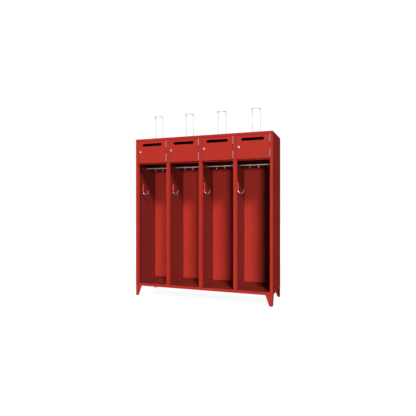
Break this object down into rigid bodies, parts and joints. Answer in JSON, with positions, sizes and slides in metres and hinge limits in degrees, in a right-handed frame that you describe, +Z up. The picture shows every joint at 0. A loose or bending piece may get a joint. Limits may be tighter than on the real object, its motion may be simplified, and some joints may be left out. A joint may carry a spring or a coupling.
{
  "type": "firefighter gear locker",
  "caption": "Red sheet-steel firefighter gear locker with open wardrobe bays, slotted lockable top boxes, clothes rods with hooks, and wire helmet holders on the roof.",
  "frame": {"origin": "on the floor, at the middle of the overall footprint, hinge knuckles included", "axes": "+Z up, +X to the viewer's right when facing the doors, +Y from the doors towards the back panel"},
  "size_m": [1.63, 0.5111, 2.14],
  "materials": {
    "red_paint": "satin red powder coat",
    "bright_wire": "bright plated steel wire and tube",
    "zinc_plated_steel": "zinc plated",
    "chromed_brass": "polished chrome"
  },
  "bodies": {
    "locker": {"side_panel_left": "red_paint", "side_panel_right": "red_paint", "divider_1": "red_paint", "divider_2": "red_paint", "divider_3": "red_paint", "back_panel": "red_paint", "roof_panel": "red_paint", "floor_tray": "red_paint", "shelf_1": "red_paint", "shelf_2": "red_paint", "shelf_3": "red_paint", "shelf_4": "red_paint", "leg_front_left": "red_paint", "leg_front_right": "red_paint", "leg_back_left": "red_paint", "leg_back_right": "red_paint", "helmet_holder_1": "bright_wire", "helmet_holder_2": "bright_wire", "helmet_holder_3": "bright_wire", "helmet_holder_4": "bright_wire", "clothes_rod_1": "bright_wire", "clothes_rod_2": "bright_wire", "clothes_rod_3": "bright_wire", "clothes_rod_4": "bright_wire", "coat_hook_1": "bright_wire", "coat_hook_2": "bright_wire", "coat_hook_3": "bright_wire", "coat_hook_4": "bright_wire", "hinge_pin_1_lower": "zinc_plated_steel", "hinge_pin_1_upper": "zinc_plated_steel", "hinge_pin_2_lower": "zinc_plated_steel", "hinge_pin_2_upper": "zinc_plated_steel", "hinge_pin_3_lower": "zinc_plated_steel", "hinge_pin_3_upper": "zinc_plated_steel", "hinge_pin_4_lower": "zinc_plated_steel", "hinge_pin_4_upper": "zinc_plated_steel"},
    "door_1": {"door_1": "red_paint", "lock_body_1": "chromed_brass"},
    "lock_plug_1": {"lock_plug_1": "chromed_brass"},
    "rod_hook_1_1": {"rod_hook_1_1": "bright_wire"},
    "rod_hook_1_2": {"rod_hook_1_2": "bright_wire"},
    "rod_hook_1_3": {"rod_hook_1_3": "bright_wire"},
    "door_2": {"door_2": "red_paint", "lock_body_2": "chromed_brass"},
    "lock_plug_2": {"lock_plug_2": "chromed_brass"},
    "rod_hook_2_1": {"rod_hook_2_1": "bright_wire"},
    "rod_hook_2_2": {"rod_hook_2_2": "bright_wire"},
    "rod_hook_2_3": {"rod_hook_2_3": "bright_wire"},
    "door_3": {"door_3": "red_paint", "lock_body_3": "chromed_brass"},
    "lock_plug_3": {"lock_plug_3": "chromed_brass"},
    "rod_hook_3_1": {"rod_hook_3_1": "bright_wire"},
    "rod_hook_3_2": {"rod_hook_3_2": "bright_wire"},
    "rod_hook_3_3": {"rod_hook_3_3": "bright_wire"},
    "door_4": {"door_4": "red_paint", "lock_body_4": "chromed_brass"},
    "lock_plug_4": {"lock_plug_4": "chromed_brass"},
    "rod_hook_4_1": {"rod_hook_4_1": "bright_wire"},
    "rod_hook_4_2": {"rod_hook_4_2": "bright_wire"},
    "rod_hook_4_3": {"rod_hook_4_3": "bright_wire"}
  },
  "joints": [
    {"name": "door_1_hinge", "type": "hinge", "parent": "locker", "child": "door_1", "pos_m": [-0.4165, -0.25015, 1.564], "axis": [0, 0, 1], "range_deg": [0, 110]},
    {"name": "lock_1_turn", "type": "hinge", "parent": "door_1", "child": "lock_plug_1", "pos_m": [-0.754, -0.24435, 1.69764], "axis": [0, 1, 0], "range_deg": [0, 90]},
    {"name": "rod_hook_1_1_slide", "type": "slide", "parent": "locker", "child": "rod_hook_1_1", "axis": [1, 0, 0], "range_m": [-0.1, 0.044]},
    {"name": "rod_hook_1_2_slide", "type": "slide", "parent": "locker", "child": "rod_hook_1_2", "axis": [1, 0, 0], "range_m": [-0.044, 0.044]},
    {"name": "rod_hook_1_3_slide", "type": "slide", "parent": "locker", "child": "rod_hook_1_3", "axis": [1, 0, 0], "range_m": [-0.044, 0.05]},
    {"name": "door_2_hinge", "type": "hinge", "parent": "locker", "child": "door_2", "pos_m": [-0.0165, -0.25015, 1.564], "axis": [0, 0, 1], "range_deg": [0, 110]},
    {"name": "lock_2_turn", "type": "hinge", "parent": "door_2", "child": "lock_plug_2", "pos_m": [-0.354, -0.24435, 1.69764], "axis": [0, 1, 0], "range_deg": [0, 90]},
    {"name": "rod_hook_2_1_slide", "type": "slide", "parent": "locker", "child": "rod_hook_2_1", "axis": [1, 0, 0], "range_m": [-0.1, 0.044]},
    {"name": "rod_hook_2_2_slide", "type": "slide", "parent": "locker", "child": "rod_hook_2_2", "axis": [1, 0, 0], "range_m": [-0.044, 0.044]},
    {"name": "rod_hook_2_3_slide", "type": "slide", "parent": "locker", "child": "rod_hook_2_3", "axis": [1, 0, 0], "range_m": [-0.044, 0.05]},
    {"name": "door_3_hinge", "type": "hinge", "parent": "locker", "child": "door_3", "pos_m": [0.3835, -0.25015, 1.564], "axis": [0, 0, 1], "range_deg": [0, 110]},
    {"name": "lock_3_turn", "type": "hinge", "parent": "door_3", "child": "lock_plug_3", "pos_m": [0.046, -0.24435, 1.69764], "axis": [0, 1, 0], "range_deg": [0, 90]},
    {"name": "rod_hook_3_1_slide", "type": "slide", "parent": "locker", "child": "rod_hook_3_1", "axis": [1, 0, 0], "range_m": [-0.1, 0.044]},
    {"name": "rod_hook_3_2_slide", "type": "slide", "parent": "locker", "child": "rod_hook_3_2", "axis": [1, 0, 0], "range_m": [-0.044, 0.044]},
    {"name": "rod_hook_3_3_slide", "type": "slide", "parent": "locker", "child": "rod_hook_3_3", "axis": [1, 0, 0], "range_m": [-0.044, 0.05]},
    {"name": "door_4_hinge", "type": "hinge", "parent": "locker", "child": "door_4", "pos_m": [0.7835, -0.25015, 1.564], "axis": [0, 0, 1], "range_deg": [0, 110]},
    {"name": "lock_4_turn", "type": "hinge", "parent": "door_4", "child": "lock_plug_4", "pos_m": [0.446, -0.24435, 1.69764], "axis": [0, 1, 0], "range_deg": [0, 90]},
    {"name": "rod_hook_4_1_slide", "type": "slide", "parent": "locker", "child": "rod_hook_4_1", "axis": [1, 0, 0], "range_m": [-0.1, 0.044]},
    {"name": "rod_hook_4_2_slide", "type": "slide", "parent": "locker", "child": "rod_hook_4_2", "axis": [1, 0, 0], "range_m": [-0.044, 0.044]},
    {"name": "rod_hook_4_3_slide", "type": "slide", "parent": "locker", "child": "rod_hook_4_3", "axis": [1, 0, 0], "range_m": [-0.044, 0.05]}
  ]
}
